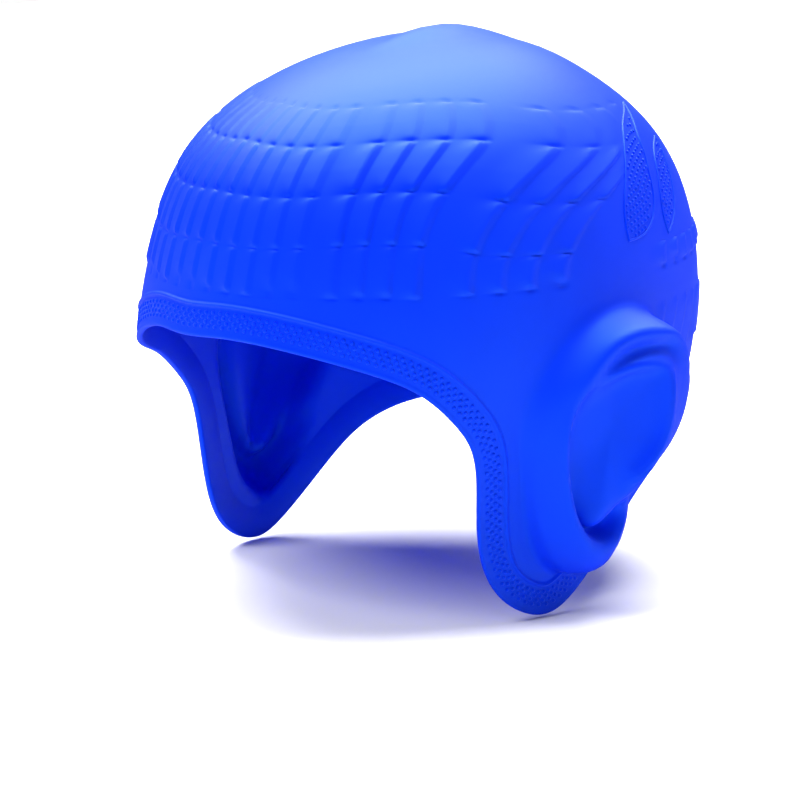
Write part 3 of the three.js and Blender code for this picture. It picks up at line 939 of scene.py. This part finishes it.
# Rows of dots on the band, in millimetres up from the rim, and the dots' pitch along it.
DOT_ROWS = (7.5, 6.1, 4.7, 3.3)
DOT_PITCH = 2.65
BAND_SAMPLES = 4001
DOT_SIZE = {"length": 1.5, "width": 1.5, "height": 0.4}


def band_spot(column, up):
    """Azimuth and depth at millimetres up from the rim."""
    turn_step, depth_step, _ = rim_inward(column)
    return rim_azimuth(column) + turn_step * up, rim_depth(column) + depth_step * up


def band_dots():
    """Staggered rows of dots along the band, on one lattice."""
    columns = np.linspace(-180, 180, BAND_SAMPLES)
    azimuth, depth = band_spot(columns, DOT_ROWS[len(DOT_ROWS) // 2])
    line = skin(azimuth, level_of(depth))
    steps = np.linalg.norm(np.diff(line, axis=0), axis=-1)
    length = np.concatenate([[0], np.cumsum(steps)])
    count = round(length[-1] / DOT_PITCH)
    pitch = length[-1] / count
    at = []
    up = []
    for number, height in enumerate(DOT_ROWS):
        wanted = (np.arange(count) + 0.5 * (number % 2)) * pitch
        at.append(np.interp(wanted, length, columns))
        up.append(np.full(count, height))
    at, up = np.concatenate(at), np.concatenate(up)
    azimuth, depth = band_spot(at, up)
    level = level_of(depth)
    centre = skin(azimuth, level)
    azimuth_ahead, depth_ahead = band_spot(at + 0.2, up)
    along = skin(azimuth_ahead, level_of(depth_ahead)) - centre
    return lay_dots("band_dots", centre, skin_normal(azimuth, level), along, **DOT_SIZE)


# The dots and borders of the grip patches. Rows of dots lie GRIP_ROW_PITCH of the pitch apart,
# with at most GRIP_HALF_ROW dots to each side of the middle.
GRIP_PITCH = 2.1
GRIP_ROW_PITCH = 0.87
GRIP_HALF_ROW = 4
GRIP_MARGIN = 1.1
PATCH_SAMPLES = 401
GRIP_DOT = {"length": 1.35, "width": 1.35, "height": 0.46}
BORDER_STEPS = 60
BORDER_RADIUS = 0.42
BORDER_TURNS = 8


def patch_spot(patch, share, across):
    """Azimuth and depth at a share along the patch and millimetres across it."""
    azimuth_at, patch_depth_at = patch_curve(patch, 0), patch_curve(patch, 1)
    azimuth, depth = azimuth_at(share), patch_depth_at(share)
    scale = degree_length(azimuth, depth)
    run = (azimuth_at(share + 0.01) - azimuth_at(share - 0.01)) * scale
    fall = patch_depth_at(share + 0.01) - patch_depth_at(share - 0.01)
    length = np.hypot(run, fall)
    return azimuth - fall / length * across / scale, depth + run / length * across


def on_skin(azimuth, depth, side):
    """Points and outward normals on the cap's skin, on either side."""
    level = level_of(depth)
    mirror = np.array([side, 1, 1])
    return skin(azimuth, level) * mirror, skin_normal(azimuth, level) * mirror


def patch_dots(patch, side):
    """Middles and normals of a patch's dots, in staggered rows across it."""
    line = np.linspace(0, 1, PATCH_SAMPLES)
    points, _ = on_skin(*patch_spot(patch, line, 0.0), side)
    length = np.concatenate([[0], np.cumsum(np.linalg.norm(np.diff(points, axis=0), axis=-1))])
    rows = int(length[-1] / GRIP_PITCH / GRIP_ROW_PITCH)
    shares = []
    offsets = []
    for row in range(1, rows):
        share = float(np.interp(length[-1] * row / rows, length, line))
        room = float(patch_half_width(patch, share)) - GRIP_MARGIN
        shift = GRIP_PITCH / 2 * (row % 2)
        for step in range(-GRIP_HALF_ROW, GRIP_HALF_ROW + 1):
            offset = step * GRIP_PITCH + shift
            if abs(offset) < room:
                shares.append(share)
                offsets.append(offset)
    azimuth, depth = patch_spot(patch, np.array(shares), np.array(offsets))
    return on_skin(azimuth, depth, side)


def patch_border(patch, side):
    """A closed thin tube round the patch: points and faces."""
    turn = np.linspace(0, 2 * math.pi, 2 * BORDER_STEPS, endpoint=False)
    share = (1 - np.cos(turn)) / 2
    across = np.where(np.sin(turn) >= 0, 1, -1) * patch_half_width(patch, share)
    azimuth, depth = patch_spot(patch, share, across)
    centre, normal = on_skin(azimuth, depth, side)
    along = np.roll(centre, -1, axis=0) - np.roll(centre, 1, axis=0)
    beside = np.cross(normal, along)
    beside /= np.linalg.norm(beside, axis=-1, keepdims=True)
    angle = np.linspace(0, 2 * math.pi, BORDER_TURNS, endpoint=False)
    ring = beside[:, None] * np.cos(angle)[None, :, None] + normal[:, None] * np.sin(angle)[None, :, None]
    points = (centre[:, None] + ring * BORDER_RADIUS).reshape(-1, 3)
    faces = []
    for i in range(len(centre)):
        for k in range(BORDER_TURNS):
            here = i * BORDER_TURNS
            ahead = (i + 1) % len(centre) * BORDER_TURNS
            turned = (k + 1) % BORDER_TURNS
            faces.append((here + k, here + turned, ahead + turned, ahead + k))
    return points, faces


def grip_patches():
    """Dots and borders of all grip patches."""
    pieces = []
    for number, patch in enumerate(GRIP_PATCHES):
        for side, label in ((1, "left"), (-1, "right")):
            centre, normal = patch_dots(patch, side)
            along = np.broadcast_to(np.array([0.0, 1.0, 0.0]), centre.shape)
            pieces.append(lay_dots(f"grip_dots_{label}_{number + 1}", centre, normal, along, **GRIP_DOT))
            points, faces = patch_border(patch, side)
            pieces.append(object_from(f"grip_border_{label}_{number + 1}", points, faces, BLUE))
    return pieces


details = [band_dots()] + grip_patches()

for piece in [cap] + details:
    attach(piece, "root")
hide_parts("cap_shell")


# Floor, lights and camera.
FLOOR_GAP = 0.001
FLOOR_REACH = 1.3


def plain_material(name, colour, roughness):
    material, _, _, shader = new_material(name)
    shader.inputs["Base Color"].default_value = (*colour, 1)
    shader.inputs["Roughness"].default_value = roughness
    return material


def build_floor(height):
    mesh = bpy.data.meshes.new("floor")
    corners = [(-1, -1), (1, -1), (1, 1), (-1, 1)]
    points = [(x * FLOOR_REACH, y * FLOOR_REACH, height) for x, y in corners]
    mesh.from_pydata(points, [], [(0, 1, 2, 3)])
    mesh.materials.append(plain_material("pale_floor", (0.86, 0.86, 0.87), 0.8))
    floor = bpy.data.objects.new("floor", mesh)
    floor.visible_glossy = False
    bpy.context.scene.collection.objects.link(floor)


build_floor(cad_low.z - FLOOR_GAP)

VIEW_AZIMUTH = 47.0
VIEW_ELEVATION = 11.0
VIEW_DISTANCE = 1.4
TARGET = Vector((0, -0.008, -0.09))
TARGET_PIXEL = (416, 318)
PIXELS_PER_METRE = 3120
IMAGE_SIZE = 800
SENSOR = 36.0


def direction(azimuth, elevation):
    """The unit direction from the object to a light or camera."""
    turn, rise = math.radians(azimuth), math.radians(elevation)
    return Vector((math.sin(turn) * math.cos(rise), -math.cos(turn) * math.cos(rise), math.sin(rise)))


def soft_light(name, azimuth, elevation, distance, size, power, glossy):
    data = bpy.data.lights.new(name, "AREA")
    data.shape = "SQUARE"
    data.size = size
    data.energy = power
    light = bpy.data.objects.new(name, data)
    away = direction(azimuth, elevation)
    light.location = TARGET + away * distance
    light.rotation_mode = "QUATERNION"
    light.rotation_quaternion = away.to_track_quat("Z", "Y")
    light.visible_glossy = glossy
    bpy.context.scene.collection.objects.link(light)


# Lights: name, turn from the view, elevation, distance, size, watts, and whether the cap's
# sheen shows it.
LIGHTS = (
    ("top_light", 185, 68, 1.5, 1.8, 112, True),
    ("key_light", -58, 48, 1.8, 0.7, 25, False),
    ("rim_light", 105, 30, 1.6, 0.4, 3.5, True),
)

for light_name, turn_from_view, *values in LIGHTS:
    soft_light(light_name, VIEW_AZIMUTH + turn_from_view, *values)

SURROUND_STRENGTH = 0.2


def build_world():
    """Soft white light all round, and a plain white background behind the object."""
    world = bpy.data.worlds.new("studio")
    world.use_nodes = True
    nodes = world.node_tree.nodes
    links = world.node_tree.links
    surround = nodes["Background"]
    surround.inputs["Color"].default_value = (1, 1, 1, 1)
    surround.inputs["Strength"].default_value = SURROUND_STRENGTH
    backdrop = nodes.new("ShaderNodeBackground")
    backdrop.inputs["Color"].default_value = (1, 1, 1, 1)
    backdrop.inputs["Strength"].default_value = 1
    ray = nodes.new("ShaderNodeLightPath")
    mix = nodes.new("ShaderNodeMixShader")
    links.new(ray.outputs["Is Camera Ray"], mix.inputs["Fac"])
    links.new(surround.outputs["Background"], mix.inputs[1])
    links.new(backdrop.outputs["Background"], mix.inputs[2])
    links.new(mix.outputs["Shader"], nodes["World Output"].inputs["Surface"])
    world.cycles_visibility.glossy = False
    bpy.context.scene.world = world


build_world()


def build_camera():
    data = bpy.data.cameras.new("camera")
    data.sensor_width = SENSOR
    data.lens = SENSOR * VIEW_DISTANCE * PIXELS_PER_METRE / IMAGE_SIZE
    camera = bpy.data.objects.new("camera", data)
    back = direction(VIEW_AZIMUTH, VIEW_ELEVATION)
    right = Vector((math.cos(math.radians(VIEW_AZIMUTH)), math.sin(math.radians(VIEW_AZIMUTH)), 0))
    up = back.cross(right)
    middle = IMAGE_SIZE / 2
    aim = TARGET - right * ((TARGET_PIXEL[0] - middle) / PIXELS_PER_METRE)
    aim -= up * ((middle - TARGET_PIXEL[1]) / PIXELS_PER_METRE)
    camera.location = TARGET + back * VIEW_DISTANCE
    camera.rotation_mode = "QUATERNION"
    camera.rotation_quaternion = (camera.location - aim).to_track_quat("Z", "Y")
    bpy.context.scene.collection.objects.link(camera)
    bpy.context.scene.camera = camera


build_camera()
bpy.context.scene.view_settings.view_transform = "Standard"
